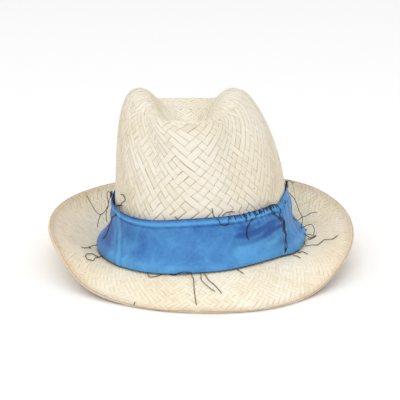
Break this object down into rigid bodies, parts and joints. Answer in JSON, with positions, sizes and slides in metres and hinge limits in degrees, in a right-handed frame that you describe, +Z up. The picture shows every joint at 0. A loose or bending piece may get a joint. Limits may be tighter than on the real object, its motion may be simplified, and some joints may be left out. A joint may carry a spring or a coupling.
{
  "type": "straw fedora with satin band",
  "caption": "Woven straw fedora with a dented, pinched crown, a curled brim and a wide flared blue satin band with loose dark threads.",
  "frame": {"origin": "under the middle of the hat's outline, on the surface it rests on", "axes": "+Z up, +Y towards the back of the hat, +X to the wearer's left"},
  "size_m": [0.3038, 0.3192, 0.1711],
  "materials": {
    "straw": "natural plaited straw, matte with a faint sheen",
    "satin": "crumpled blue satin, soft sheen",
    "thread": "black sewing thread"
  },
  "bodies": {
    "root": {"straw_body": "straw", "satin_band": "satin"}
  },
  "joints": []
}
